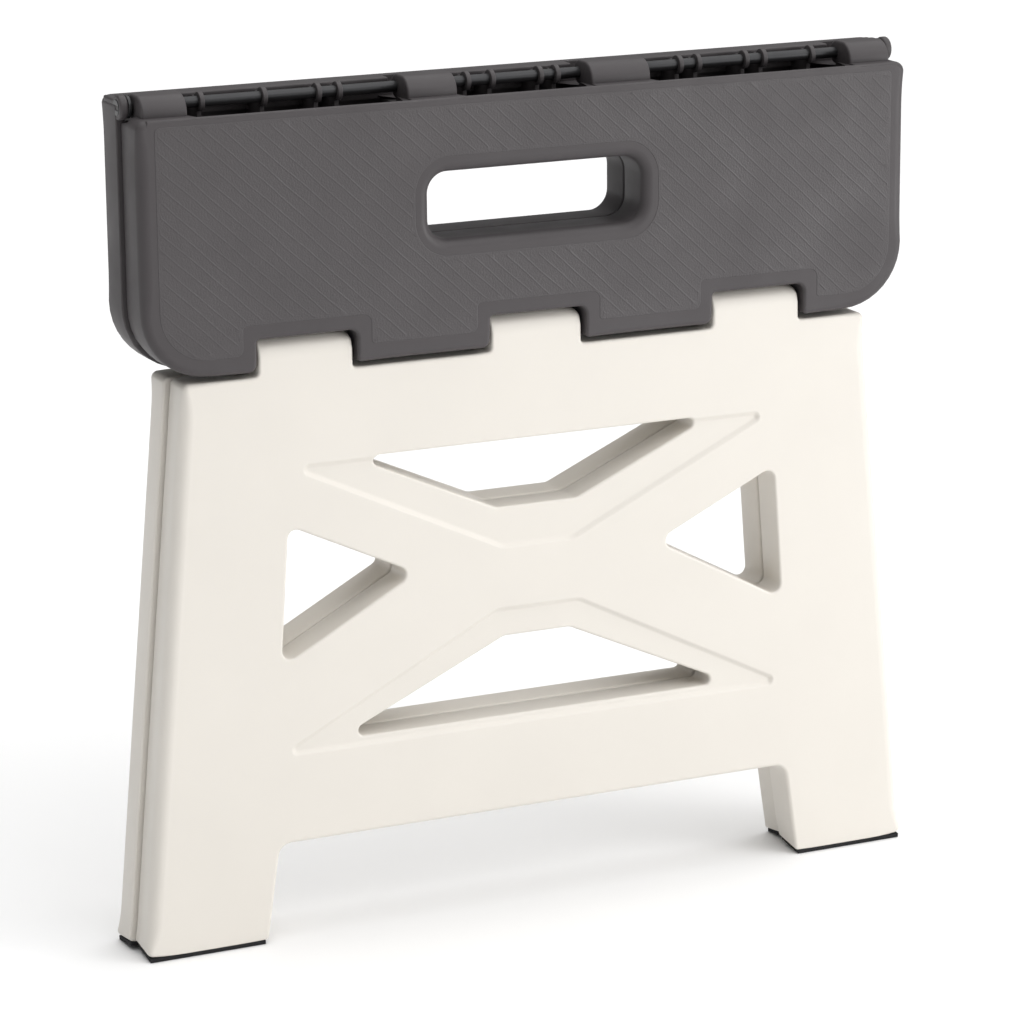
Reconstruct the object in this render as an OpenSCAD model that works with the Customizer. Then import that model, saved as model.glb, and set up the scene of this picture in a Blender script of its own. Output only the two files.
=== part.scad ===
// Folding step stool, drawn folded flat and standing on its feet.
// X runs along the hinge, Y through the thickness, Z up. The front half is at minus Y.
// Millimetres. Z = 0 is the floor.

/* [Step halves] */
// Width of the front step half along the hinge
step_w = 300; // [240:1:360]
// Height of a step half when folded, lower edge to hinge edge
step_h = 91; // [80:1:115]
// Thickness of one step half
step_t = 16; // [15:0.5:20]
// How much wider the rear step half is on each side
rear_step_extra = 1.5; // [1:0.5:4]
// Radius of the two lower corners of a step half
corner_r = 24; // [12:1:30]
// Radius along the outer edges of a step half
step_edge_r = 4; // [2:0.5:6]
// Wall thickness of the step mouldings
step_skin = 2.8; // [2.2:0.1:4]
// Thickness of the stiffening ribs
rib_t = 1.8; // [1.2:0.1:3]
// Spacing of the stiffening ribs inside a step half
step_rib_pitch = 25; // [18:1:40]

/* [Handle slot] */
// Width of the handle slot
slot_w = 84; // [60:1:100]
// Height of the handle slot
slot_h = 24; // [18:1:32]
// Corner radius of the handle slot
slot_r = 7.5; // [4:0.5:10]
// Distance from the hinge edge down to the middle of the slot
slot_drop = 38.4; // [32:0.2:46]
// Radius of the roll at the mouth of the slot
rim_r = 3.6; // [2:0.2:5]

/* [Grip skins] */
// Thickness of the bonded anti-slip skins
grip_t = 1; // [0.6:0.1:1.4]
// Plain border between a grip skin and the edge of the step
grip_border = 6; // [4:0.5:10]
// Plain border between a grip skin and the hinge edge
grip_top_border = 2.4; // [2:0.1:6]

/* [Middle hinge] */
// Height of the hinge axis above the step edge
axis_rise = 2.85; // [2.6:0.05:3.4]
// Height of the rear band above the step edge
band_h = 5.4; // [4.6:0.1:6]
// Depth of the shelf in front of the knuckles
knuckle_shelf = 5.5; // [4.5:0.1:7]
// Radius of the hinge knuckles round their rod
knuckle_r = 4.4; // [4:0.1:4.8]
// Radius of the eyes on the thin rear ribs
rib_eye_r = 3.4; // [3:0.1:4]
// Thickness of the band over the rear knuckles
band_t = 1.8; // [1.4:0.1:2.4]
// Diameter of the middle hinge rod
rod_d = 4; // [3:0.1:4.6]
// Depth of the hinge pockets below the step edge
pocket_d = 8.2; // [6:0.1:12]
// Thickness of the lip in front of the pockets
lip_t = 1.8; // [1.4:0.1:3]

/* [Leg panels] */
// Height of the leg panel shoulder above the floor
leg_h = 210; // [160:1:260]
// Thickness of one leg panel
leg_t = 14; // [12:0.5:18]
// Width of the leg panel at its shoulder
leg_top_w = 270; // [220:1:330]
// Width of the leg panel across the feet
leg_foot_w = 310; // [250:1:370]
// How much wider the rear leg panel is on each side
rear_leg_extra = 2; // [0:0.5:4]
// Width of one foot at the floor
foot_w = 46.5; // [36:0.5:60]
// Height of the arch between the feet
arch_h = 37; // [20:1:50]
// Radius along the outer upright edges of a leg panel
leg_edge_r = 4.5; // [2:0.5:6]
// Wall thickness of the leg mouldings
leg_skin = 2.4; // [1.8:0.1:3.5]
// Depth of the shallow bands round the upper and lower openings
recess_d = 0.8; // [0.4:0.1:1.4]
// Corner radius of the upper and lower openings
hole_r = 2; // [1:0.2:4]
// Corner radius of the side openings
tri_r = 3; // [1:0.2:5]

/* [Leg hinges] */
// Width of one leg knuckle
knuckle_w = 35.5; // [28:0.5:44]
// Spacing of the leg knuckles
knuckle_pitch = 89.3; // [70:0.1:100]
// Gap at each side of a leg knuckle
knuckle_gap = 1.25; // [0.5:0.05:2]
// Height of the leg hinge axis above the shoulder
leg_axis_rise = 6; // [5:0.1:8]
// Outward lean of the legs when the stool stands open
splay = 8; // [5:0.5:12]

/* [Feet] */
// Thickness of the rubber foot pads
pad_t = 1.6; // [1:0.1:3]
// Diameter of the plugs that hold a pad in its foot
pad_plug_d = 5; // [3:0.1:7]
// Length of those plugs
pad_plug_l = 4; // [2:0.5:6]

/* [Part selection] */
// Piece to draw

/* [Hidden] */
$fn = 48;
half_gap = 0.5;
fit_tight = 0.02;
fit_run = 0.06;
seam = 0.5;
step_in = -half_gap;
step_out = -half_gap - step_t;
leg_in = -half_gap;
leg_out = -half_gap - leg_t;
leg_mid = -half_gap - leg_t / 2;
leg_axis_z = leg_h + leg_axis_rise;
step_lo = leg_h + 2.2;
step_hi = step_lo + step_h;
axis_z = step_hi + axis_rise;
band_top = step_hi + band_h;
notch_top = leg_axis_z + leg_t / 2 + 0.9;
pocket_floor = step_hi - pocket_d;
slot_z = step_hi - slot_drop;
front_half_w = step_w / 2;
rear_half_w = step_w / 2 + rear_step_extra;
lug_in = front_half_w - 1.8;
finger_end = front_half_w - 4;
hump_reach = half_gap + step_t - knuckle_shelf;
hump_top_r = 6.5;
band_reach = hump_reach + 0.7;
foot_rise = tan(splay);

// Front knuckles: where each one starts and ends along the hinge, as parts of the half width
fingers = [
    [-0.973, -0.863],
    [-0.317, -0.190],
    [0.160, 0.317],
    [0.863, 0.973]
];

// Rear knuckle ribs between them, as parts of the half width
rear_ribs = [
    -0.807, -0.652, -0.517, -0.465,
    -0.137, -0.073, 0.053, 0.097,
    0.427, 0.477, 0.607, 0.657, 0.790
];

// Short webs that only stiffen the band between them
short_ribs = [-0.585, 0.142, 0.836];

// ---- helpers ----

// Sheet drawn in X and Z, given thickness from y0 to y1
module sheet(y0, y1) {
    translate([0, y1, 0]) rotate([90, 0, 0]) linear_extrude(y1 - y0) children();
}

// Profile drawn in Y and Z, run along X from x0 to x1
module bar(x0, x1) {
    translate([x0, 0, 0]) rotate([90, 0, 90]) linear_extrude(x1 - x0) children();
}

// Round rod along X
module rod(x0, x1, y, z, r) {
    translate([x0, y, z]) rotate([0, 90, 0]) cylinder(r = r, h = x1 - x0);
}

// Rectangle whose corners on the x = 0 side are rounded
module soft_side(w, h, r1, r2) {
    difference() {
        square([w, h]);
        square([r1, r1]);
        translate([0, h - r2]) square([r2, r2]);
    }
    translate([r1, r1]) circle(r = r1);
    translate([r2, h - r2]) circle(r = r2);
}

// Rectangle with four round corners, about its middle
module soft_rect(w, h, r) {
    square([w, h - 2 * r], center = true);
    square([w - 2 * r, h], center = true);
    for (sx = [-1, 1])
        for (sy = [-1, 1])
            translate([sx * (w / 2 - r), sy * (h / 2 - r)]) circle(r = r);
}

// ---- step halves ----

// Outline of a step half, drawn in to "inset" from every edge
module step_outline(half_w, inset = 0) {
    r = corner_r - inset;
    translate([-(half_w - inset), step_lo + corner_r])
        square([2 * (half_w - inset), step_h - corner_r - inset]);
    translate([-(half_w - corner_r), step_lo + inset])
        square([2 * (half_w - corner_r), corner_r]);
    for (s = [-1, 1])
        translate([s * (half_w - corner_r), step_lo + corner_r]) circle(r = r);
}

// Notches for the leg knuckles, grown by "grow"
module knuckle_notches(grow = 0) {
    w = knuckle_w + 2 * knuckle_gap + 2 * grow;
    for (i = [-1:1])
        translate([i * knuckle_pitch - w / 2, step_lo - 5])
            square([w, notch_top - step_lo + 5 + grow]);
}

// Roll at the mouth of the slot: what it takes away
module rim_profile() {
    difference() {
        translate([-seam, -seam]) square([rim_r + seam, rim_r + seam]);
        translate([rim_r, rim_r]) circle(r = rim_r);
    }
}

module rim_cut() {
    a = slot_w / 2 - slot_r;
    b = slot_h / 2 - slot_r;
    translate([0, step_out, slot_z]) rotate([-90, 0, 0]) {
        for (q = [0:3]) {
            sx = (q == 0 || q == 3) ? 1 : -1;
            sy = q < 2 ? 1 : -1;
            translate([sx * a, sy * b, 0]) rotate([0, 0, 90 * q])
                rotate_extrude(angle = 90) translate([slot_r, 0]) rim_profile();
        }
        for (s = [0, 180])
            rotate([0, 0, s]) {
                translate([-a, slot_h / 2, 0]) rotate([90, 0, 90])
                    linear_extrude(2 * a) rim_profile();
                translate([slot_w / 2, b, 0]) rotate([90, 0, 0])
                    linear_extrude(2 * b) rim_profile();
            }
    }
}

// Solid block of a step half with its soft outer edges
module step_block(half_w) {
    intersection() {
        sheet(step_out, step_in) step_outline(half_w);
        bar(-half_w - 1, half_w + 1) translate([step_out, step_lo])
            soft_side(step_t, step_h, step_edge_r, 1.5);
        translate([0, 0, step_lo - 1]) linear_extrude(step_h + 2)
            translate([-half_w, step_out]) {
                difference() {
                    square([2 * half_w, step_t]);
                    square([step_edge_r, step_edge_r]);
                    translate([2 * half_w - step_edge_r, 0])
                        square([step_edge_r, step_edge_r]);
                }
                for (x = [step_edge_r, 2 * half_w - step_edge_r])
                    translate([x, step_edge_r]) circle(r = step_edge_r);
            }
    }
}

// Hollow behind the step face, with its ribs left standing
module step_hollow(half_w) {
    w = half_w - step_skin;
    ribs_each_side = floor((w - 6) / step_rib_pitch);
    sheet(step_out + step_skin, step_in + 1) difference() {
        intersection() {
            step_outline(half_w, step_skin);
            translate([-w, notch_top + step_skin])
                square([2 * w, pocket_floor - step_skin - notch_top - step_skin]);
        }
        translate([0, slot_z])
            soft_rect(slot_w + 2 * step_skin, slot_h + 2 * step_skin, slot_r + step_skin);
        for (i = [-ribs_each_side:ribs_each_side])
            translate([i * step_rib_pitch - rib_t / 2, step_lo])
                square([rib_t, step_h]);
        translate([-half_w, (notch_top + slot_z - slot_h / 2) / 2 - rib_t / 2])
            square([2 * half_w, rib_t]);
    }
}

// Room for the leg shoulder behind the tabs
module tab_relief(half_w) {
    reach = leg_axis_rise - 0.4;
    bar(-half_w - 1, half_w + 1) translate([leg_mid, leg_axis_z]) {
        translate([reach, -20]) square([20, 20 + leg_t / 2 + 0.4]);
        difference() {
            translate([0, -reach - 5]) square([reach + seam, reach + 5]);
            circle(r = reach);
        }
    }
}

module step_common(half_w) {
    difference() {
        step_block(half_w);
        step_hollow(half_w);
        sheet(step_out - 1, step_in + 1) knuckle_notches();
        tab_relief(half_w);
        sheet(step_out - 1, step_in + 1) translate([0, slot_z])
            soft_rect(slot_w, slot_h, slot_r);
        rim_cut();
        sheet(step_out - 1, step_out + grip_t) grip_outline(0);
        rod(-half_w - 1, half_w + 1, leg_mid, leg_axis_z, rod_d / 2 + fit_tight);
    }
}

// Patch covered by a grip skin
module grip_outline(shrink) {
    g = grip_border + shrink;
    difference() {
        step_outline(front_half_w, g);
        translate([-front_half_w, step_hi - grip_top_border - shrink])
            square([step_w, grip_border]);
        knuckle_notches(g - 1);
        translate([0, slot_z])
            soft_rect(slot_w + 2 * (rim_r + 2 + shrink), slot_h + 2 * (rim_r + 2 + shrink),
                slot_r + rim_r + 2);
    }
}

// Profile of a front knuckle: a soft hump that closes round the rod
module finger_profile() {
    translate([0, axis_z]) circle(r = knuckle_r);
    translate([-hump_reach + hump_top_r, axis_z - pocket_d])
        square([hump_reach - hump_top_r, pocket_d + knuckle_r]);
    translate([-hump_reach + hump_top_r, axis_z + knuckle_r - hump_top_r])
        circle(r = hump_top_r);
    translate([-hump_reach, axis_z - pocket_d])
        square([hump_reach, pocket_d + knuckle_r - hump_top_r]);
}

module front_step() {
    color("DimGray") difference() {
        union() {
            difference() {
                step_common(front_half_w);
                for (i = [0:2])
                    bar(fingers[i][1] * front_half_w, fingers[i + 1][0] * front_half_w)
                        translate([step_out + lip_t, pocket_floor])
                            square([step_t - lip_t + 1, pocket_d + 1]);
                for (s = [0, 180])
                    rotate([0, 0, s]) mirror([0, s / 180, 0])
                        bar(finger_end, front_half_w + 1)
                            translate([-knuckle_r - 0.6, axis_z - knuckle_r - 0.6])
                                square([10, 20]);
            }
            for (f = fingers)
                bar(f[0] * front_half_w, f[1] * front_half_w) finger_profile();
        }
        rod(-front_half_w, front_half_w, 0, axis_z, rod_d / 2 + fit_run);
        bar(-front_half_w, front_half_w) translate([step_in, axis_z - 30])
            square([10, 30 - knuckle_r]);
    }
}

// One rear knuckle rib: a web under the band with an eye round the rod
module rear_rib_profile() {
    translate([0, axis_z]) circle(r = rib_eye_r);
    translate([0, pocket_floor - 1])
        square([step_t + half_gap - 1.5, axis_z + 1.5 - pocket_floor]);
}

module rear_step() {
    back = step_t + half_gap;
    color("DimGray") difference() {
        union() {
            mirror([0, 1, 0]) difference() {
                step_common(rear_half_w);
                for (i = [0:2])
                    bar(fingers[i][1] * front_half_w, fingers[i + 1][0] * front_half_w)
                        translate([step_out + step_skin, pocket_floor])
                            square([step_t, pocket_d + 1]);
            }
            // low band behind the front knuckles, full width
            bar(-rear_half_w, rear_half_w) translate([back, step_hi - 3]) mirror([1, 0])
                soft_side(back - band_reach, band_h + 3, 0.01, 2.4);
            // wide band over the rear knuckles
            for (i = [0:2])
                bar(fingers[i][1] * front_half_w + seam, fingers[i + 1][0] * front_half_w - seam)
                    translate([knuckle_r + 1, band_top - band_t])
                        square([back - knuckle_r - 5, band_t]);
            for (x = rear_ribs)
                bar(x * front_half_w - rib_t / 2, x * front_half_w + rib_t / 2)
                    rear_rib_profile();
            for (x = short_ribs)
                bar(x * front_half_w - rib_t / 2, x * front_half_w + rib_t / 2)
                    translate([knuckle_r + 1, band_top - band_h])
                        square([back - knuckle_r - 3, band_h - 1]);
            // end lugs
            for (s = [-1, 1]) {
                x0 = s > 0 ? lug_in : -rear_half_w;
                x1 = s > 0 ? rear_half_w : -lug_in;
                bar(x0, x1) {
                    translate([0, axis_z]) circle(r = knuckle_r);
                    translate([0, axis_z - 8]) square([back - 3, 8 + band_h - axis_rise]);
                }
            }
        }
        // room for the front knuckles when the stool is open
        for (f = fingers)
            bar(f[0] * front_half_w - seam, f[1] * front_half_w + seam)
                translate([-10, axis_z - knuckle_r - 0.5])
                    square([10 + hump_reach + 0.5, 2 * knuckle_r + 2]);
        bar(-lug_in, -finger_end) translate([-10, axis_z - knuckle_r - 0.5])
            square([10 + hump_reach + 0.5, 2 * knuckle_r + 2]);
        bar(finger_end, lug_in) translate([-10, axis_z - knuckle_r - 0.5])
            square([10 + hump_reach + 0.5, 2 * knuckle_r + 2]);
        rod(-rear_half_w, rear_half_w, 0, axis_z, rod_d / 2 + fit_tight);
        rod(-rear_half_w - 1, -rear_half_w + 2, 0, axis_z, 3 + fit_tight);
        rod(rear_half_w - 2, rear_half_w + 1, 0, axis_z, 3 + fit_tight);
    }
}

module front_grip() {
    color("SlateGray") sheet(step_out, step_out + grip_t) grip_outline(0.1);
}

module rear_grip() {
    color("SlateGray") mirror([0, 1, 0]) sheet(step_out, step_out + grip_t) grip_outline(0.1);
}

// ---- middle hinge hardware ----

module hinge_rod() {
    color("Silver") rod(-rear_half_w + 2.2, rear_half_w - 2.2, 0, axis_z, rod_d / 2);
}

module hinge_plug() {
    color("Black") rod(rear_half_w - 2, rear_half_w - 0.2, 0, axis_z, 3);
}

module hinge_plug_left() {
    mirror([1, 0, 0]) hinge_plug();
}

module hinge_plug_right() {
    hinge_plug();
}

module hinge_washer() {
    color("Black") difference() {
        rod(lug_in - 1.3, lug_in - 0.1, 0, axis_z, knuckle_r - 0.4);
        rod(lug_in - 2, lug_in + 1, 0, axis_z, rod_d / 2 + fit_tight);
    }
}

module hinge_washer_left() {
    mirror([1, 0, 0]) hinge_washer();
}

module hinge_washer_right() {
    hinge_washer();
}

// ---- leg panels ----

leg_lean = atan((leg_foot_w - leg_top_w) / 2 / leg_h);

module leg_outline(extra) {
    ws = leg_top_w / 2 + extra + 2;
    wf = leg_foot_w / 2 + extra + 2;
    wi = leg_foot_w / 2 + extra - foot_w;
    wa = wi - arch_h * 0.146;
    difference() {
        polygon([
            [-wf, 0], [wf, 0], [ws, leg_h], [-ws, leg_h]
        ]);
        polygon([
            [-wi, -1], [wi, -1], [wa, arch_h - 6], [wa - 2, arch_h - 2], [wa - 6, arch_h],
            [6 - wa, arch_h], [2 - wa, arch_h - 2], [-wa, arch_h - 6]
        ]);
    }
}

// Sharp corners of the openings, from the floor and the middle of the panel
leg_s = leg_h / 210;
wide_s = leg_foot_w / 310;

module upper_hole() {
    offset(r = hole_r) offset(delta = -hole_r) polygon([
        [-72 * wide_s, 177.2 * leg_s], [72 * wide_s, 177.2 * leg_s],
        [16 * wide_s, 152.2 * leg_s], [-16 * wide_s, 152.2 * leg_s]
    ]);
}

module lower_hole() {
    offset(r = hole_r) offset(delta = -hole_r) polygon([
        [-79.3 * wide_s, 73.2 * leg_s], [79.3 * wide_s, 73.2 * leg_s],
        [13.3 * wide_s, 103.4 * leg_s], [-13.3 * wide_s, 103.4 * leg_s]
    ]);
}

module side_hole() {
    offset(r = tri_r) offset(delta = -tri_r) polygon([
        [97.3 * wide_s, 155.1 * leg_s], [101 * wide_s, 103.7 * leg_s],
        [48.6 * wide_s, 132 * leg_s]
    ]);
}

module leg_holes() {
    upper_hole();
    lower_hole();
    side_hole();
    mirror([1, 0]) side_hole();
}

module recess_bands() {
    polygon([
        [-100 * wide_s, 177.2 * leg_s], [100 * wide_s, 177.2 * leg_s],
        [14.2 * wide_s, 136.5 * leg_s], [-14.2 * wide_s, 136.5 * leg_s]
    ]);
    polygon([
        [-106 * wide_s, 69.5 * leg_s], [106 * wide_s, 69.5 * leg_s],
        [17 * wide_s, 114.9 * leg_s], [-17 * wide_s, 114.9 * leg_s]
    ]);
}

// Upright side of a leg panel with its two round edges
module side_trim(extra) {
    translate([leg_foot_w / 2 + extra, 0, 0]) rotate([0, -leg_lean, 0])
        translate([0, 0, -30]) linear_extrude(leg_h + 60)
            mirror([1, 0]) translate([0, leg_out]) soft_side(360, leg_t, leg_edge_r, 2);
}

module leg_hollow(extra) {
    sheet(leg_out + leg_skin, leg_in + 1) difference() {
        intersection() {
            offset(delta = -leg_skin - 2.5) leg_outline(extra);
            translate([-200, 14]) square([400, leg_h - 22]);
        }
        offset(delta = leg_skin) leg_holes();
        for (s = [-1, 1])
            for (x = [0.32, 0.57, 0.8])
                translate([s * x * leg_top_w / 2 - rib_t / 2, 0])
                    square([rib_t, leg_h]);
        for (z = [0.27, 0.42, 0.58, 0.9])
            translate([-200, z * leg_h - rib_t / 2]) square([400, rib_t]);
    }
}

module leg_panel(extra) {
    color("Linen") difference() {
        union() {
            intersection() {
                sheet(leg_out, leg_in) leg_outline(extra);
                side_trim(extra);
                mirror([1, 0, 0]) side_trim(extra);
            }
            for (i = [-1:1])
                bar(i * knuckle_pitch - knuckle_w / 2, i * knuckle_pitch + knuckle_w / 2) {
                    translate([leg_mid, leg_axis_z]) circle(r = leg_t / 2);
                    translate([leg_out, leg_h - 2])
                        square([leg_t, leg_axis_rise + 2]);
                }
        }
        leg_hollow(extra);
        sheet(leg_out - 1, leg_in + 1) leg_holes();
        sheet(leg_out - 1, leg_out + recess_d) recess_bands();
        rod(-leg_top_w / 2, leg_top_w / 2, leg_mid, leg_axis_z, rod_d / 2 + fit_run);
        // sloped undersides of the feet
        bar(-leg_foot_w, leg_foot_w) polygon([
            [leg_out - 2, -5], [leg_in + 2, -5],
            [leg_in + 2, pad_t + (leg_t + 2) * foot_rise],
            [leg_out, pad_t], [leg_out - 2, pad_t - 2 * foot_rise]
        ]);
        for (s = [-1, 1])
            foot_plugs(s, extra, pad_plug_d / 2 + fit_tight, 0.2);
    }
}

// Plugs of one foot pad, square to its sole
module foot_plugs(s, extra, r, more) {
    mid = leg_foot_w / 2 + extra - foot_w / 2;
    for (k = [-1, 1])
        translate([s * (mid + k * foot_w / 4), leg_mid, pad_t / 2 + leg_t / 2 * foot_rise])
            rotate([splay, 0, 0]) cylinder(r = r, h = pad_t / 2 + pad_plug_l + more);
}

module front_leg() {
    leg_panel(0);
}

module rear_leg() {
    mirror([0, 1, 0]) leg_panel(rear_leg_extra);
}

// ---- leg hinge rods and their end plugs ----

rod_half = front_half_w - corner_r + 5;

module leg_rod() {
    color("Silver") rod(-rod_half, rod_half, leg_mid, leg_axis_z, rod_d / 2);
}

module rod_plug() {
    color("DimGray") rod(rod_half + 0.2, rod_half + 3.2, leg_mid, leg_axis_z, rod_d / 2);
}

module front_leg_rod() {
    leg_rod();
}

module rear_leg_rod() {
    mirror([0, 1, 0]) leg_rod();
}

module front_rod_plug_right() {
    rod_plug();
}

module front_rod_plug_left() {
    mirror([1, 0, 0]) rod_plug();
}

module rear_rod_plug_right() {
    mirror([0, 1, 0]) rod_plug();
}

module rear_rod_plug_left() {
    mirror([0, 1, 0]) mirror([1, 0, 0]) rod_plug();
}

// ---- foot pads ----

module pad(extra) {
    outer = leg_foot_w / 2 + extra - 1.2;
    inner = leg_foot_w / 2 + extra - foot_w + 1.2;
    y0 = leg_out + 0.4;
    y1 = leg_in - 0.4;
    color("Black") {
        bar(inner, outer) polygon([
            [y0, 0.4 * foot_rise], [y1, (leg_t - 0.4) * foot_rise],
            [y1, pad_t + (leg_t - 0.4) * foot_rise], [y0, pad_t + 0.4 * foot_rise]
        ]);
        foot_plugs(1, extra, pad_plug_d / 2, 0);
    }
}

module front_pad_right() {
    pad(0);
}

module front_pad_left() {
    mirror([1, 0, 0]) pad(0);
}

module rear_pad_right() {
    mirror([0, 1, 0]) pad(rear_leg_extra);
}

module rear_pad_left() {
    mirror([0, 1, 0]) mirror([1, 0, 0]) pad(rear_leg_extra);
}

front_step();
rear_step();
front_grip();
rear_grip();
hinge_rod();
hinge_plug_left();
hinge_plug_right();
hinge_washer_left();
hinge_washer_right();
front_leg();
rear_leg();
front_leg_rod();
rear_leg_rod();
front_rod_plug_left();
front_rod_plug_right();
rear_rod_plug_left();
rear_rod_plug_right();
front_pad_left();
front_pad_right();
rear_pad_left();
rear_pad_right();
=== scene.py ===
import math
import bpy
import bmesh
import numpy as np
from mathutils import Matrix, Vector
from mathutils.geometry import delaunay_2d_cdt


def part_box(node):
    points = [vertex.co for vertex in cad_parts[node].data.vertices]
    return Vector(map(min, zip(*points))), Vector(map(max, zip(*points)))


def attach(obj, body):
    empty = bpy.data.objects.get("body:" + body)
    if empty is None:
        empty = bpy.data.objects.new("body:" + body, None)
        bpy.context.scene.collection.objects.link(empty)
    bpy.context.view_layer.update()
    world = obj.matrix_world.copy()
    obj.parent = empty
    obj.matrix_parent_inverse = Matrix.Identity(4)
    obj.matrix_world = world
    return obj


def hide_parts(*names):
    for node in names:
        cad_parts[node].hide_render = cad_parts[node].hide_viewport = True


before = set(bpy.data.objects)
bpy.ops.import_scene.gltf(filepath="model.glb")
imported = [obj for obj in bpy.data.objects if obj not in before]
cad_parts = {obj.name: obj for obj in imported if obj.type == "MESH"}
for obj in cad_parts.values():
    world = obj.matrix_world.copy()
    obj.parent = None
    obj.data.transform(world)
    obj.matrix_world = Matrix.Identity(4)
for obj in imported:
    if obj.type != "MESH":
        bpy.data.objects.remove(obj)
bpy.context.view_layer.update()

scene = bpy.context.scene
mm = 0.001

# View, floor and lights

view = {"place": (-0.5981, -1.2863, 0.5190), "turn": 24.80, "down": 14.75, "tilt": -0.47, "lens": 140.6}
floor = {"reach": 6.0, "colour": (0.93, 0.93, 0.93)}
studio = {"ambient": 0.26, "backdrop": 1.0}
suns = {
    "skySoft": {"from": (0.25, -0.15, 1.0), "spread": 100, "strength": 2.85},
    "keySoft": {"from": (0.9, -1.6, 1.1), "spread": 50, "strength": 0.22},
}
lamps = {
    "sheenRight": {"place": (1.05, -0.95, 0.28), "aim": (0.12, 0.0, 0.26), "size": 0.6, "watts": 8.0},
}


def turned(degrees, axis):
    return Matrix.Rotation(math.radians(degrees), 4, axis)


def lookFrom(place, aim):
    # minus Z of the lamp points from place to aim
    way = np.array(aim) - np.array(place)
    side = math.degrees(math.atan2(way[0], way[1]))
    drop = math.degrees(math.atan2(-way[2], math.hypot(way[0], way[1])))
    return Matrix.Translation(place) @ turned(-side, "Z") @ turned(90 - drop, "X")


def addStage():
    cam = bpy.data.cameras.new("viewCamera")
    cam.lens = view["lens"]
    cam.sensor_width = 36
    cam.clip_end = 50
    camera = bpy.data.objects.new("viewCamera", cam)
    scene.collection.objects.link(camera)
    camera.matrix_world = (Matrix.Translation(view["place"]) @ turned(-view["turn"], "Z")
                           @ turned(90 - view["down"], "X") @ turned(view["tilt"], "Z"))
    scene.camera = camera

    world = bpy.data.worlds.new("studio")
    world.use_nodes = True
    nodes, links = world.node_tree.nodes, world.node_tree.links
    nodes.clear()
    out = nodes.new("ShaderNodeOutputWorld")
    mix = nodes.new("ShaderNodeMixShader")
    seen = nodes.new("ShaderNodeLightPath")
    for socket, strength in ((1, studio["ambient"]), (2, studio["backdrop"])):
        sky = nodes.new("ShaderNodeBackground")
        sky.inputs["Color"].default_value = (1, 1, 1, 1)
        sky.inputs["Strength"].default_value = strength
        links.new(sky.outputs[0], mix.inputs[socket])
    links.new(seen.outputs["Is Camera Ray"], mix.inputs[0])
    links.new(mix.outputs[0], out.inputs[0])
    scene.world = world

    for name, sun in suns.items():
        data = bpy.data.lights.new(name, "SUN")
        data.energy = sun["strength"]
        data.angle = math.radians(sun["spread"])
        light = bpy.data.objects.new(name, data)
        scene.collection.objects.link(light)
        light.matrix_world = lookFrom(sun["from"], (0, 0, 0))

    for name, lamp in lamps.items():
        data = bpy.data.lights.new(name, "AREA")
        data.energy = lamp["watts"]
        data.size = lamp["size"]
        light = bpy.data.objects.new(name, data)
        scene.collection.objects.link(light)
        light.matrix_world = lookFrom(lamp["place"], lamp["aim"])

    r = floor["reach"]
    mesh = bpy.data.meshes.new("floorSheet")
    mesh.from_pydata([(-r, -r, 0), (r, -r, 0), (r, r, 0), (-r, r, 0)], [], [(0, 1, 2, 3)])
    sheet = bpy.data.objects.new("floorSheet", mesh)
    scene.collection.objects.link(sheet)
    mat = bpy.data.materials.new("paleFloor")
    mat.use_nodes = True
    shader = mat.node_tree.nodes["Principled BSDF"]
    shader.inputs["Base Color"].default_value = (*floor["colour"], 1)
    shader.inputs["Roughness"].default_value = 0.9
    shader.inputs["Specular IOR Level"].default_value = 0.1
    mesh.materials.append(mat)
    scene.view_settings.view_transform = "Standard"


addStage()
print("stage ready")

# Outlines, rolled walls and the faces between them


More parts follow.
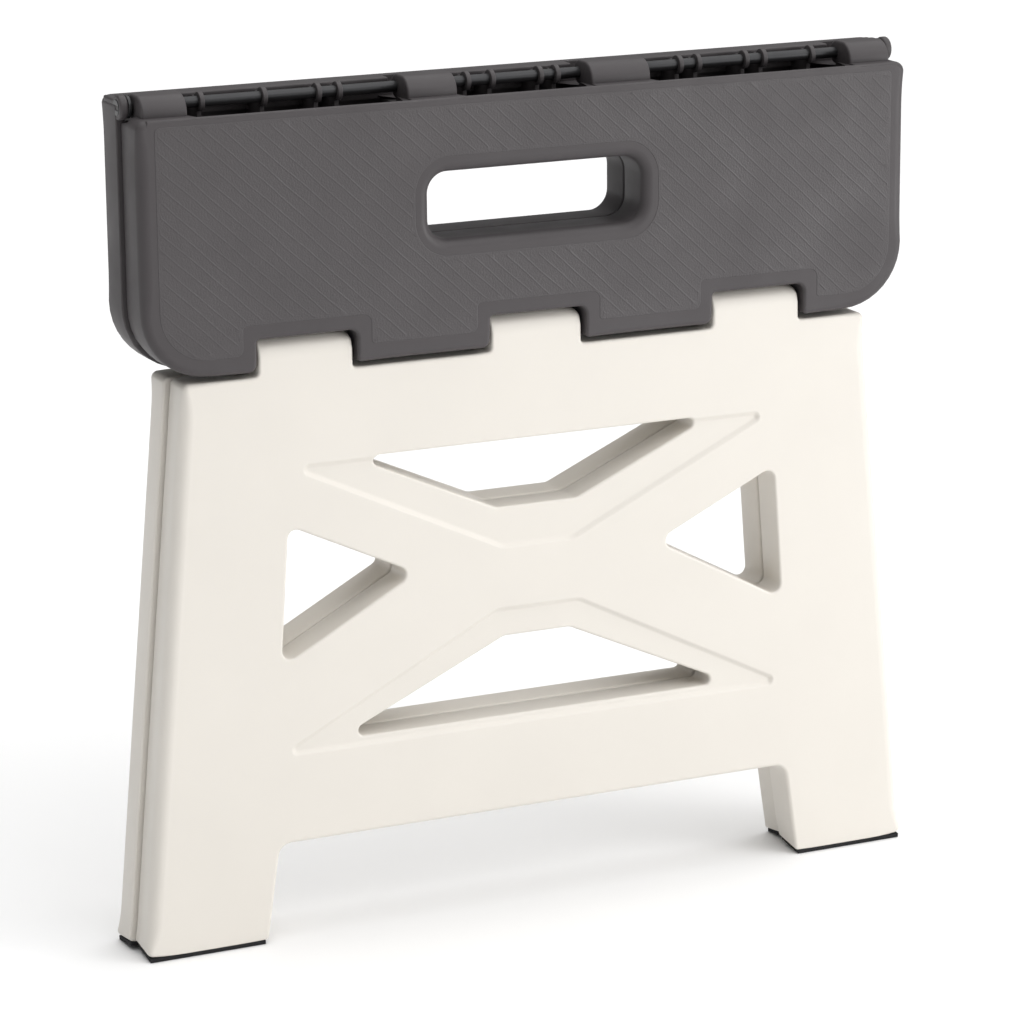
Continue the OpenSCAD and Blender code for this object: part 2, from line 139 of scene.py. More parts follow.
# Points round a closed outline with rounded corners. Row k of corners is x, z and the radius in plan,
# and rolls[k] is how far the edge after corner k is rolled over. Material lies to the left of the way
# round. A corner arc is its centre, less the radius times a normal that turns from one side's normal
# to the next. Returns points, normals into the material, and the roll at each point.
def outline(corners, rolls, pitch=3.0, arcSteps=8, blend=12.0):
    c = np.asarray(corners, float)
    p, r, rolls = c[:, :2], c[:, 2], np.asarray(rolls, float)
    way = np.roll(p, -1, 0) - p
    way /= np.hypot(*way.T)[:, None]
    after = np.c_[-way[:, 1], way[:, 0]]
    before = np.roll(after, 1, 0)
    cross = before[:, 0] * after[:, 1] - before[:, 1] * after[:, 0]
    bent = np.abs(cross) > 1e-7
    turn = np.where(bent, np.sign(cross), 0)
    safe = np.where(bent, cross, 1)
    b0 = (before * p).sum(1) + turn * r
    b1 = (after * p).sum(1) + turn * r
    centre = np.c_[(b0 * after[:, 1] - b1 * before[:, 1]) / safe,
                   (before[:, 0] * b1 - after[:, 0] * b0) / safe]
    centre = np.where(bent[:, None], centre, p)
    start = np.arctan2(before[:, 1], before[:, 0])
    sweep = np.where(bent, np.arctan2(cross, (before * after).sum(1)), 0)
    angle = start[:, None] + sweep[:, None] * np.linspace(0, 1, arcSteps + 1)
    normal = np.stack([np.cos(angle), np.sin(angle)], -1)
    arc = centre[:, None] - (turn * r)[:, None, None] * normal
    rollBefore = np.roll(rolls, 1)
    atCorner = (rolls + rollBefore) / 2
    atCorner = np.where(turn > 0, np.clip(np.minimum(atCorner, r - 0.45), 0, None), atCorner)
    points, normals, rolled = [], [], []
    for k in range(len(c)):
        if bent[k]:
            points.append(arc[k])
            normals.append(normal[k])
            rolled.append(np.full(arcSteps + 1, atCorner[k]))
        else:
            points.append(p[k:k + 1])
            normals.append(after[k:k + 1])
            rolled.append(rolls[k:k + 1])
        a, b = arc[k, -1], arc[(k + 1) % len(c), 0]
        length = np.hypot(*(b - a))
        t = np.linspace(0, 1, max(int(np.ceil(length / pitch)), 1) + 1)[1:-1]
        points.append(a + t[:, None] * (b - a))
        normals.append(np.broadcast_to(after[k], (len(t), 2)))
        reach = min(blend, length / 2) + 1e-6
        near = np.clip(1 - t * length / reach, 0, 1) ** 2
        far = np.clip(1 - (1 - t) * length / reach, 0, 1) ** 2
        nextRoll = atCorner[(k + 1) % len(c)] if bent[(k + 1) % len(c)] else rolls[k]
        thisRoll = atCorner[k] if bent[k] else rolls[k]
        rolled.append(rolls[k] + (thisRoll - rolls[k]) * near + (nextRoll - rolls[k]) * far)
    return np.vstack(points), np.vstack(normals), np.concatenate(rolled)


# Quads between neighbouring points of a grid whose columns close on themselves
def gridQuads(rows, columns, first=0):
    i, j = np.meshgrid(np.arange(rows - 1), np.arange(columns), indexing="ij")
    k = (j + 1) % columns
    quads = [i * columns + j, i * columns + k, (i + 1) * columns + k, (i + 1) * columns + j]
    return (first + np.stack(quads, -1)).reshape(-1, 4)


# The wall of a moulding along one outline: in from the inner face, round a small edge, across the
# thickness, and over the outer roll. A roll of radius r goes in by r(1 - cos a) and drops by r(1 - sin a).
# Returns vertices (x, out, z), quads and the two loops where the faces start.
def rolledWall(loop, outer, inner, innerRoll=0.5, steps=7):
    p, n, roll = loop
    gap = outer(*p.T) - inner(*p.T)
    roll = np.minimum(roll, 0.45 * gap)
    small = np.minimum(innerRoll, 0.2 * gap)
    hold = 0.01 + 0.27 * np.clip(gap / 8, 0, 1)
    a = np.linspace(0, np.pi / 2, steps + 1)[:, None]
    rows = []
    for inset, drop, face, sign in (
        (small * (1 - np.cos(a[:4] * 7 / 3)), small * (1 - np.sin(a[:4] * 7 / 3)), inner, 1),
        (roll * (1 - np.cos(a)), roll * (1 - np.sin(a)), outer, -1),
    ):
        last = np.broadcast_to(hold, (1, len(hold))) + inset[-1:]
        inset, drop = np.vstack([inset, last]), np.vstack([drop, 0 * hold])
        at = p + inset[..., None] * n
        out = face(at[..., 0], at[..., 1]) + sign * drop
        rows.append(np.stack([at[..., 0], out, at[..., 1]], -1))
    grid = np.vstack([rows[0][::-1], rows[1]])
    count = len(p)
    return grid.reshape(-1, 3), gridQuads(len(grid), count), grid[-1][:, [0, 2]], grid[0][:, [0, 2]]


def segmentsOf(loops):
    a = np.vstack(loops)
    b = np.vstack([np.roll(loop, -1, 0) for loop in loops])
    return a, b


# Even-odd test of many points against closed loops, all segments at once
def insideLoops(points, loops):
    a, b = segmentsOf(loops)
    inside = np.zeros(len(points), bool)
    for part in np.array_split(np.arange(len(points)), 1 + len(points) * len(a) // 4_000_000):
        q = points[part][:, None]
        spans = (a[:, 1] > q[..., 1]) != (b[:, 1] > q[..., 1])
        rise = np.where(a[:, 1] == b[:, 1], 1, b[:, 1] - a[:, 1])
        crossing = a[:, 0] + (q[..., 1] - a[:, 1]) * (b[:, 0] - a[:, 0]) / rise
        inside[part] = (spans & (q[..., 0] < crossing)).sum(1) % 2 == 1
    return inside


# Distance from many points to the nearest segment of some closed loops
def distanceTo(points, loops):
    a, b = segmentsOf(loops)
    way = b - a
    size = np.maximum((way ** 2).sum(1), 1e-12)
    least = np.empty(len(points))
    for part in np.array_split(np.arange(len(points)), 1 + len(points) * len(a) // 3_000_000):
        q = points[part][:, None] - a
        t = np.clip((q * way).sum(-1) / size, 0, 1)
        least[part] = np.sqrt(((q - t[..., None] * way) ** 2).sum(-1).min(1))
    return least


# Triangles over a region bounded by loops, with polylines that edges must follow. Each polyline is
# dropped where it comes nearer to a loop than clear.
def triangulate(loops, lines, clear=0.55):
    points, edges, first = [], [], 0
    for loop in loops:
        k = np.arange(len(loop))
        points.append(loop)
        edges.append(first + np.c_[k, (k + 1) % len(loop)])
        first += len(loop)
    if lines:
        every = np.vstack(lines)
        free = insideLoops(every, loops)
        free[free] = distanceTo(every[free], loops) > clear
        at = 0
        for line in lines:
            ok = free[at:at + len(line)]
            at += len(line)
            number = np.cumsum(ok) - 1 + first
            both = ok[:-1] & ok[1:]
            points.append(line[ok])
            edges.append(np.c_[number[:-1][both], number[1:][both]])
            first += int(ok.sum())
    points, edges = np.vstack(points), np.vstack(edges)
    got = delaunay_2d_cdt([tuple(v) for v in points.tolist()], edges.tolist(), [], 0, 1e-5)
    flat = np.array([v[:] for v in got[0]])
    tris = np.array(got[2])
    (ax, az), (bx, bz), (cx, cz) = np.moveaxis(flat[tris], 0, 2)
    longest = np.maximum((bx - ax) ** 2 + (bz - az) ** 2, (cx - ax) ** 2 + (cz - az) ** 2)
    sliver = np.abs((bx - ax) * (cz - az) - (cx - ax) * (bz - az)) < 1e-5 * longest
    keep = insideLoops(flat[tris].mean(1), loops) & ~sliver
    return flat, tris[keep]


# One face of a moulding. level gives each triangle a number and heights[number] the distance of that
# level from the middle plane; upright walls join neighbouring levels.
def faceBetween(loops, lines, heights, level=None, clear=0.55):
    flat, tris = triangulate(loops, lines, clear)
    middle = flat[tris].mean(1)
    number = np.zeros(len(tris), int) if level is None else level(*middle.T)
    count = len(flat)
    faces = tris + number[:, None] * count
    verts = np.vstack([np.c_[flat[:, 0], h(*flat.T), flat[:, 1]] for h in heights])
    walls = np.zeros((0, 4), int)
    if len(heights) > 1:
        a = np.vstack([tris[:, [0, 1]], tris[:, [1, 2]], tris[:, [2, 0]]])
        owner = np.tile(np.arange(len(tris)), 3)
        key = np.sort(a, 1)
        order = np.lexsort((key[:, 1], key[:, 0]))
        key, owner = key[order], owner[order]
        pair = np.flatnonzero((key[:-1] == key[1:]).all(1))
        m, n = number[owner[pair]], number[owner[pair + 1]]
        step = m != n
        u, v = key[pair][step].T
        m, n = m[step] * count, n[step] * count
        walls = np.c_[u + m, v + m, v + n, u + n]
    return verts, faces, walls


# Joins numpy parts (x, out, z in millimetres) into one closed mesh. side is -1 for the front half, whose
# outer face looks to minus Y, and 1 for the rear half.
def putMesh(name, parts, side, body, replaced, finish, sharp=38):
    verts, polys, first = [], [], 0
    for v, *faces in parts:
        verts.append(v)
        for f in faces:
            if len(f):
                polys.append(np.asarray(f) + first)
        first += len(v)
    verts = np.vstack(verts) * (mm, side * mm, mm)
    loops = np.concatenate([f.ravel() for f in polys])
    sizes = np.concatenate([np.full(len(f), f.shape[1]) for f in polys])
    mesh = bpy.data.meshes.new(name)
    mesh.vertices.add(len(verts))
    mesh.vertices.foreach_set("co", verts.astype(np.float32).ravel())
    mesh.loops.add(len(loops))
    mesh.loops.foreach_set("vertex_index", loops.astype(np.int32))
    mesh.polygons.add(len(sizes))
    mesh.polygons.foreach_set("loop_start", (np.cumsum(sizes) - sizes).astype(np.int32))
    mesh.update(calc_edges=True)
    mesh.validate()
    bm = bmesh.new()
    bm.from_mesh(mesh)
    bmesh.ops.remove_doubles(bm, verts=bm.verts, dist=2e-6)
    bmesh.ops.dissolve_degenerate(bm, dist=1e-6, edges=bm.edges)
    loose = [v for v in bm.verts if not v.link_faces]
    bmesh.ops.delete(bm, geom=loose, context="VERTS")
    bmesh.ops.recalc_face_normals(bm, faces=bm.faces)
    openEdges = sum(1 for e in bm.edges if len(e.link_faces) != 2)
    bm.to_mesh(mesh)
    bm.free()
    mesh.shade_smooth()
    mesh.set_sharp_from_angle(angle=math.radians(sharp))
    piece = bpy.data.objects.new(name, mesh)
    scene.collection.objects.link(piece)
    mesh.materials.append(finish)
    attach(piece, body)
    if replaced:
        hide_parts(*replaced)
    print("made", name, len(mesh.polygons), "faces, open edges", openEdges)
    return piece

# Measures shared by several pieces, in millimetres, mostly read from the frame


def sizeOf(node):
    low, high = (np.array(v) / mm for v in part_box(node))
    return low, high


stepLow = sizeOf("front_step")[0]
legLow, legHigh = sizeOf("front_leg")
rodLow, rodHigh = sizeOf("hinge_rod")
pinLow, pinHigh = sizeOf("front_leg_rod")
seam = 0.5  # half the gap between the two halves
halfOut = -stepLow[1]  # outer face of a step half, from the middle plane
legOut = -legLow[1]  # outer face of a leg panel
axisZ = (rodLow[2] + rodHigh[2]) / 2  # middle hinge
pinZ = (pinLow[2] + pinHigh[2]) / 2  # leg hinges
pinOut = -(pinLow[1] + pinHigh[1]) / 2
stepBottom = stepLow[2]
stepTop = axisZ - 2.85
knuckle = {"width": 35.5, "pitch": 89.3, "gap": 1.25}  # on the leg panels
notchTop = legHigh[2] + 0.9
shoulderZ = pinZ - 6.0
handle = {"width": 84.0, "height": 24.0, "corner": 7.5, "drop": 38.4, "roll": 3.6}
handleZ = stepTop - handle["drop"]
stepHalf = 150.0  # half the width of the front step
fingerShares = ((-0.973, -0.863), (-0.317, -0.190), (0.160, 0.317), (0.863, 0.973))
fingers = [(a * stepHalf, b * stepHalf) for a, b in fingerShares]  # knuckles of the front step
pocketFloor = stepTop - 8.2


def boxCorners(x0, x1, z0, z1, r=0.0):
    # anticlockwise, with material inside
    return [(x0, z0, r), (x1, z0, r), (x1, z1, r), (x0, z1, r)]


# The way round an opening is clockwise, with material outside. The area is half the sum of x0 z1 - x1 z0.
def asOpening(corners):
    c = np.asarray(corners, float)[:, :2]
    n = np.roll(c, -1, 0)
    area = (c[:, 0] * n[:, 1] - n[:, 0] * c[:, 1]).sum() / 2
    return corners[::-1] if area > 0 else corners


def closed(ring):
    return np.vstack([ring, ring[:1]])


def pieceName(node):
    # hinge_rod becomes hingeRod
    first, *rest = node.split("_")
    return first + "".join(word.capitalize() for word in rest)


# Smooth step from 0 to 1 as v goes from 0 to 1
def eased(v):
    v = np.clip(v, 0, 1)
    return v * v * (3 - 2 * v)


# Steep step from 0 to 1 across edge, 0.1 mm wide
def stepped(v, edge):
    return np.clip((v - edge) / 0.1 + 0.5, 0, 1)


# Finishes

finishLooks = {
    "grey_shell": {"colour": (0.062, 0.056, 0.058), "patch": 0.05, "rough": 0.5, "spread": 0.08,
                   "grain": 0.45, "bump": 0.022, "gloss": 0.3},
    "grip_skin": {"colour": (0.062, 0.056, 0.058), "patch": 0.05, "rough": 0.5, "spread": 0.08,
                  "grain": 0.7, "bump": 0.16, "gloss": 0.4, "leather": 0.8},
    "white_shell": {"colour": (0.705, 0.67, 0.615), "patch": 0.012, "rough": 0.40, "spread": 0.06,
                    "grain": 0.6, "bump": 0.012, "gloss": 0.45},
    "pad_rubber": {"colour": (0.012, 0.012, 0.013), "patch": 0.1, "rough": 0.75, "spread": 0.1,
                   "grain": 0.3, "bump": 0.03, "gloss": 0.3},
    "rod_steel": {"colour": (0.05, 0.05, 0.052), "patch": 0.08, "rough": 0.42, "spread": 0.1,
                  "grain": 0.25, "bump": 0.006, "gloss": 0.4, "metal": 0.8},
    "black_trim": {"colour": (0.016, 0.016, 0.017), "patch": 0.08, "rough": 0.38, "spread": 0.08,
                   "grain": 0.35, "bump": 0.012, "gloss": 0.5},
    "grey_trim": {"colour": (0.11, 0.10, 0.104), "patch": 0.05, "rough": 0.45, "spread": 0.08,
                  "grain": 0.4, "bump": 0.015, "gloss": 0.45},
}


# Colour is the base times 1 plus patch times slow noise. Roughness moves by spread with a second slow
# noise. The bump is fine noise of the grain size, and for leather also the borders of small cells.
def makeFinish(name, look):
    mat = bpy.data.materials.new(name)
    mat.use_nodes = True
    nodes, links = mat.node_tree.nodes, mat.node_tree.links
    shader = nodes["Principled BSDF"]
    shader.inputs["Metallic"].default_value = look.get("metal", 0.0)
    shader.inputs["Specular IOR Level"].default_value = look["gloss"]
    where = nodes.new("ShaderNodeTexCoord").outputs["Object"]

    def noise(size, detail):
        node = nodes.new("ShaderNodeTexNoise")
        node.inputs["Scale"].default_value = 1 / (size * mm)
        node.inputs["Detail"].default_value = detail
        links.new(where, node.inputs["Vector"])
        return node.outputs["Fac"]

    def spread(value, low, high):
        node = nodes.new("ShaderNodeMapRange")
        node.inputs["From Min"].default_value = 0.3
        node.inputs["From Max"].default_value = 0.7
        node.inputs["To Min"].default_value = low
        node.inputs["To Max"].default_value = high
        links.new(value, node.inputs["Value"])
        return node.outputs["Result"]

    shade = nodes.new("ShaderNodeVectorMath")
    shade.operation = "SCALE"
    shade.inputs[0].default_value = look["colour"]
    links.new(spread(noise(38, 3), 1 - look["patch"], 1 + look["patch"]), shade.inputs["Scale"])
    links.new(shade.outputs["Vector"], shader.inputs["Base Color"])
    rough = spread(noise(24, 4), look["rough"] - look["spread"], look["rough"] + look["spread"])
    links.new(rough, shader.inputs["Roughness"])

    height = noise(look["grain"], 3)
    if "leather" in look:
        cells = nodes.new("ShaderNodeTexVoronoi")
        cells.feature = "DISTANCE_TO_EDGE"
        cells.inputs["Scale"].default_value = 1 / (1.15 * mm)
        links.new(where, cells.inputs["Vector"])
        both = nodes.new("ShaderNodeMath")
        both.operation = "MULTIPLY_ADD"
        both.inputs[1].default_value = look["leather"]
        links.new(cells.outputs["Distance"], both.inputs[0])
        links.new(height, both.inputs[2])
        height = both.outputs[0]
    bump = nodes.new("ShaderNodeBump")
    bump.inputs["Strength"].default_value = 0.6
    bump.inputs["Distance"].default_value = look["bump"] * mm
    links.new(height, bump.inputs["Height"])
    links.new(bump.outputs["Normal"], shader.inputs["Normal"])
    return mat


finishes = {name: makeFinish(name, look) for name, look in finishLooks.items()}
print("finishes ready")

# Leg panels

legs = {
    "front": {"side": -1, "extra": 0.0, "body": "front_leg_body", "node": "front_leg"},
    "rear": {"side": 1, "extra": 2.0, "body": "rear_leg_body", "node": "rear_leg"},
}
panel = {"top": 135.0, "foot": 155.0, "footWide": 46.5, "arch": 37.0, "roll": 4.4, "skin": 2.4,
         "recess": 1.15, "ramp": 2.1, "sole": 1.6, "splay": 8.0, "innerRoll": 0.9, "openingRoll": 0.9,
         "archRoll": 1.5, "soleRoll": 0.7, "shoulderRoll": 1.1, "knuckleRoll": 0.9, "corner": 2.6,
         "archSlope": 0.146}
cells = {"rib": 1.8, "rim": 4.9, "guard": 2.4, "low": 14.0, "below": 8.0,
         "upright": (0.32, 0.57, 0.8), "level": (0.27, 0.42, 0.58, 0.9)}
upperBand = [(-100, 177.2, 2.5), (-14.2, 136.5, 9), (14.2, 136.5, 9), (100, 177.2, 2.5)]
lowerBand = [(-106, 69.5, 2.5), (106, 69.5, 2.5), (17, 114.9, 9), (-17, 114.9, 9)]
upperHole = [(-72, 177.2, 2.2), (-16, 152.2, 5), (16, 152.2, 5), (72, 177.2, 2.2)]
lowerHole = [(-79.3, 73.2, 2.2), (79.3, 73.2, 2.2), (13.3, 103.4, 5), (-13.3, 103.4, 5)]
rightHole = [(97.3, 155.1, 3.2), (48.6, 132, 3.2), (101, 103.7, 3.2)]


def panelCorners(extra):
    # shoulder, feet and arch, with the three knuckles standing on the shoulder
    top, foot = panel["top"] + extra, panel["foot"] + extra
    inner = foot - panel["footWide"]
    arch = inner - panel["arch"] * panel["archSlope"]
    left = [(-foot, 0.0, panel["corner"]), (-inner, 0.0, 1.6), (-arch, panel["arch"], 5.0)]
    bottom = left + [(-x, z, r) for x, z, r in left[::-1]]
    rolls = [panel["soleRoll"]] + [panel["archRoll"]] * 3 + [panel["soleRoll"], panel["roll"]]
    upper, upperRolls = [(top, shoulderZ, panel["corner"])], [panel["shoulderRoll"]]
    for i in (1, 0, -1):
        a = i * knuckle["pitch"] + knuckle["width"] / 2
        b = a - knuckle["width"]
        upper += [(a, shoulderZ, 1.3), (a, legHigh[2], 3.4), (b, legHigh[2], 1.4), (b, shoulderZ, 2.0)]
        upperRolls += [panel["knuckleRoll"]] * 3 + [panel["shoulderRoll"]]
    upper.append((-top, shoulderZ, panel["corner"]))
    upperRolls.append(panel["roll"])
    return bottom + upper, rolls + upperRolls


# Outer face of a panel: flat, sunk by the recess inside the two bands over an eased ramp, and above the
# pins a quarter round of the panel's half thickness
def panelFaces():
    half = (legOut - seam) / 2
    bands = [outline(b, [0] * 4, 2.0, 10)[0] for b in (upperBand, lowerBand)]

    def rounded(z):
        return np.sqrt(np.clip(half ** 2 - np.clip(z - pinZ, 0, half) ** 2, 0, None))

    def sunk(x, z):
        shape = np.shape(x)
        q = np.c_[np.ravel(x), np.ravel(z)]
        depth = np.zeros(len(q))
        near = (q[:, 1] > 66) & (q[:, 1] < 180)
        for band in bands:
            inBand = near.copy()
            inBand[near] = insideLoops(q[near], [band])
            if inBand.any():
                depth[inBand] = eased(distanceTo(q[inBand], [band]) / panel["ramp"])
        return panel["recess"] * depth.reshape(shape)

    def outer(x, z):
        return pinOut + rounded(z) - sunk(x, z)

    def inner(x, z):
        return pinOut - rounded(z)

    return outer, inner


# Hollow behind the face: inside a line drawn in from the outline, clear of the openings and the ribs
def panelCells(extra, holes):
    corners, _ = panelCorners(extra)
    plain = [c for c in corners if not (c[1] > shoulderZ + 1)]
    plain = [c for c in plain if not (c[1] > shoulderZ - 1 and abs(c[0]) < panel["top"] - 1)]
    rim = outline([(x, z, 0.5) for x, z, _ in plain], [0] * len(plain), 4.0, 2)
    rim = rim[0] + cells["rim"] * rim[1]
    guards = [loop[0] + cells["guard"] * loop[1] for loop in holes]
    ribX = [s * f * panel["top"] for s in (-1, 1) for f in cells["upright"]]
    ribZ = [f * shoulderZ for f in cells["level"]]
    t = cells["rib"] / 2
    low, high = cells["low"], shoulderZ - cells["below"]
    lines = [closed(g) for g in [rim] + guards]
    reach = np.arange(-170, 170.1, 2.0)
    levels = [low, high] + [z + s * t for z in ribZ for s in (-1, 1)]
    lines += [np.c_[reach, np.full(len(reach), z)] for z in levels]
    rise = np.arange(low, high + 0.1, 2.0)
    lines += [np.c_[np.full(len(rise), x + s * t), rise] for x in ribX for s in (-1, 1)]

    def level(x, z):
        q = np.c_[x, z]
        cell = (z > low) & (z < high) & insideLoops(q, [rim])
        for g in guards:
            cell &= ~insideLoops(q, [g])
        for at in ribX:
            cell &= np.abs(x - at) > t
        for at in ribZ:
            cell &= np.abs(z - at) > t
        return cell.astype(int)

    return lines, level


def makePanel(which):
    leg = legs[which]
    outer, inner = panelFaces()
    body = outline(*panelCorners(leg["extra"]))
    leftHole = [(-x, z, r) for x, z, r in rightHole[::-1]]
    openings = [upperHole, lowerHole, rightHole, leftHole]
    holes = [outline(asOpening(h), [panel["openingRoll"]] * len(h), 2.0) for h in openings]
    parts, outLoops, inLoops = [], [], []
    for loop in [body] + holes:
        verts, quads, outLoop, inLoop = rolledWall(loop, outer, inner, panel["innerRoll"])
        parts.append((verts, quads))
        outLoops.append(outLoop)
        inLoops.append(inLoop)
    lines = []
    for corners in (upperBand, lowerBand):
        points, normals, _ = outline(corners, [0] * 4, 2.0, 10)
        for t in (-0.3, 0, 0.35, 0.75, 1.15, 1.5, 1.85, 2.15, 2.35):
            ring = points + t * normals
            lines.append(closed(ring))
    around = []
    for i in (-1, 0, 1):
        reach = np.linspace(-1, 1, 12) * (knuckle["width"] / 2 - 0.3) + i * knuckle["pitch"]
        half = (legOut - seam) / 2
        for a in np.linspace(0, np.pi / 2, 14)[:-1]:
            around.append(np.c_[reach, np.full(12, pinZ + half * np.sin(a))])
        around.append(np.c_[reach, np.full(12, pinZ - 0.3)])
    parts.append(faceBetween(outLoops, lines + around, [outer], clear=0.06))
    cellLines, level = panelCells(leg["extra"], holes)
    deep = legOut - panel["skin"]
    parts.append(faceBetween(inLoops, cellLines + around, [inner, lambda x, z: np.full(np.shape(x), deep)],
                             level, clear=0.06))
    # soles slope at the splay angle, so they lie flat when the legs are open
    slope = math.tan(math.radians(panel["splay"]))
    for k, part in enumerate(parts):
        v = part[0]
        sole = panel["sole"] + (legOut - v[:, 1]) * slope
        v[:, 2] = np.where(v[:, 2] < 12, sole + v[:, 2] * (12 - sole) / 12, v[:, 2])
    return putMesh(which + "LegPanel", parts, leg["side"], leg["body"],
                   [leg["node"]], finishes["white_shell"])


for which in legs:
    makePanel(which)
print("leg panels done")

# Step shells

steps = {
    "front": {"side": -1, "half": stepHalf, "top": stepTop, "topCorner": 3.6, "topRoll": 0.9, "skin": 1.8,
              "body": "front_step_body", "node": "front_step"},
    "rear": {"side": 1, "half": 151.5, "top": axisZ + 2.55, "topCorner": 3.0, "topRoll": 2.3, "skin": 2.8,
             "body": "rear_step_body", "node": "rear_step"},
}
fingerEnd, lugInner = 146, 148.2  # where the front half stops short, and where the rear lugs begin
shell = {"corner": 24.0, "roll": 3.9, "tabRoll": 2.0, "notchRoll": 1.1, "skin": 2.8, "ribs": 1.8,
         "ribPitch": 25.0, "tabBack": 1.4, "ramp": 0.05}
notchHalf = knuckle["width"] / 2 + knuckle["gap"]
bandOut = 11.7
zones = [(fingers[i][1], fingers[i + 1][0]) for i in range(3)]


def notchedBottom(half, low, high, grow, radius, roll, notchRoll):
    # bottom side with its three notches, from the left corner to the right one
    corners, rolls = [(-half, low, radius)], [roll]
    for i in (-1, 0, 1):
        a, b = i * knuckle["pitch"] - notchHalf - grow, i * knuckle["pitch"] + notchHalf + grow
        corners += [(a, low, 3.0), (a, high, 1.4), (b, high, 3.0), (b, low, 1.4)]
        rolls += [notchRoll, notchRoll, notchRoll, roll]
    corners.append((half, low, radius))
    return corners, rolls


def handleOutline(grow, roll, pitch=2.5):
    w, h, r = handle["width"] / 2 + grow, handle["height"] / 2 + grow, handle["corner"] + grow
    return outline(asOpening(boxCorners(-w, w, handleZ - h, handleZ + h, r)), [roll] * 4, pitch, 14)


# Inner face of a step half: the seam, drawn back behind the tabs, and sunk at the top where the pockets
# between the knuckles and the room for the knuckles are. Below the leg pins the tabs are round about the
# pins, out = pinOut - sqrt(reach^2 - drop^2), so the leg shoulders can turn under them.
def stepInner(which):
    step = steps[which]

    def across(x, x0, x1):
        return stepped(x, x0) * stepped(-x, -x1)

    def inner(x, z):
        reach, drop = pinOut - seam - shell["tabBack"], np.clip(pinZ - z, 0, 4.5)
        tabs = shell["tabBack"] * eased((notchTop + 0.5 - z) / 2.4) + reach - np.sqrt(reach ** 2 - drop ** 2)
        between = sum(across(x, a, b) for a, b in zones)
        if which == "front":
            sunk = between * (halfOut - step["skin"] - seam) * stepped(z, pocketFloor)
            ends = (stepped(x, fingerEnd) + stepped(-x, fingerEnd)) * 4.5 * stepped(z, axisZ - 5)
            return seam + tabs + np.maximum(sunk, ends)
        sunk = between * ((halfOut - step["skin"] - seam) * stepped(z, pocketFloor)
                          - (halfOut - step["skin"] - bandOut) * stepped(z, stepTop - 3))
        room = across(x, -lugInner, lugInner) * (bandOut - seam) * stepped(z, axisZ - 4.9)
        return seam + tabs + np.maximum(sunk, room)

    return inner


def frameLines(x0, x1, z0, z1, pitch=2.0):
    # both rims of a steep step round three sides of a box that is open at the top
    lines = []
    for e in (-shell["ramp"], shell["ramp"]):
        a, b, low = x0 + e, x1 - e, z0 + e
        up = np.arange(low, z1, pitch)
        reach = np.linspace(a, b, max(int((b - a) / 6), 2))
        lines.append(np.vstack([np.c_[np.full(len(up), a), up][::-1],
                                np.c_[reach, np.full(len(reach), low)][1:-1],
                                np.c_[np.full(len(up), b), up]]))
    return lines


def stepCells(half, pad=2.8):
    low, high = notchTop + shell["skin"], pocketFloor - shell["skin"]
    t = shell["ribs"] / 2
    rimCorners = boxCorners(-half + pad, half - pad, stepBottom + pad, stepTop, shell["corner"] - pad)
    rim = outline(rimCorners, [0] * 4, 4.0, 10)[0]
    guard = handleOutline(shell["skin"], 0)[0]
    count = int((half - pad - 6) // shell["ribPitch"])
    ribX = np.arange(-count, count + 1) * shell["ribPitch"]
    ribZ = (notchTop + handleZ - handle["height"] / 2) / 2
    reach = np.arange(-half + 1, half - 1, 2.5)
    rise = np.linspace(low, high, 26)
    lines = [closed(g) for g in (rim, guard)]
    lines += [np.c_[reach, np.full(len(reach), z)] for z in (low, high, ribZ - t, ribZ + t)]
    lines += [np.c_[np.full(26, x + e), rise] for x in ribX for e in (-t, t)]

    def level(x, z):
        q = np.c_[x, z]
        cell = (z > low) & (z < high) & insideLoops(q, [rim]) & ~insideLoops(q, [guard])
        cell &= (np.abs(x[:, None] - ribX) > t).all(1) & (np.abs(z - ribZ) > t)
        return cell.astype(int)

    return lines, level


# A closed bar along X. profile goes round in (out, z) with material to its left. Both ends are rolled over
# by a quarter circle: the profile goes in by r(1 - sin a) while x goes on by r(1 - cos a).
def barAlong(profile, x0, x1, roll=0.5, steps=5):
    p = np.asarray(profile, float)
    p = p[np.hypot(*(p - np.roll(p, 1, 0)).T) > 1e-4]
    way = np.roll(p, -1, 0) - np.roll(p, 1, 0)
    n = np.c_[-way[:, 1], way[:, 0]] / np.hypot(*way.T)[:, None]
    a = np.linspace(0, np.pi / 2, steps + 1)
    inset, on = roll * (1 - np.sin(a)), roll * (1 - np.cos(a))
    inset = np.r_[inset, inset[::-1]]
    x = np.r_[x0 + on, x1 - on[::-1]]
    at = p + inset[:, None, None] * n
    grid = np.concatenate([np.broadcast_to(x[:, None, None], (*at.shape[:2], 1)), at], -1)
    flat, tris = triangulate([at[0]], [])
    caps = [(np.c_[np.full(len(flat), end), flat], tris) for end in (x0, x1)]
    return [(grid.reshape(-1, 3), gridQuads(len(x), len(p)))] + caps


def fingerProfile():
    # a soft hump that closes round the rod
    top, low = axisZ + 4.4, axisZ - 4.4
    corners = [(0.8, pocketFloor + 3, 0), (11, pocketFloor + 3, 0), (11, top, 6.5), (-4.4, top, 4.4),
               (-4.4, low, 4.4), (0.8, low, 0.25)]
    return outline(corners, [0] * 6, 1.0, 12)[0]


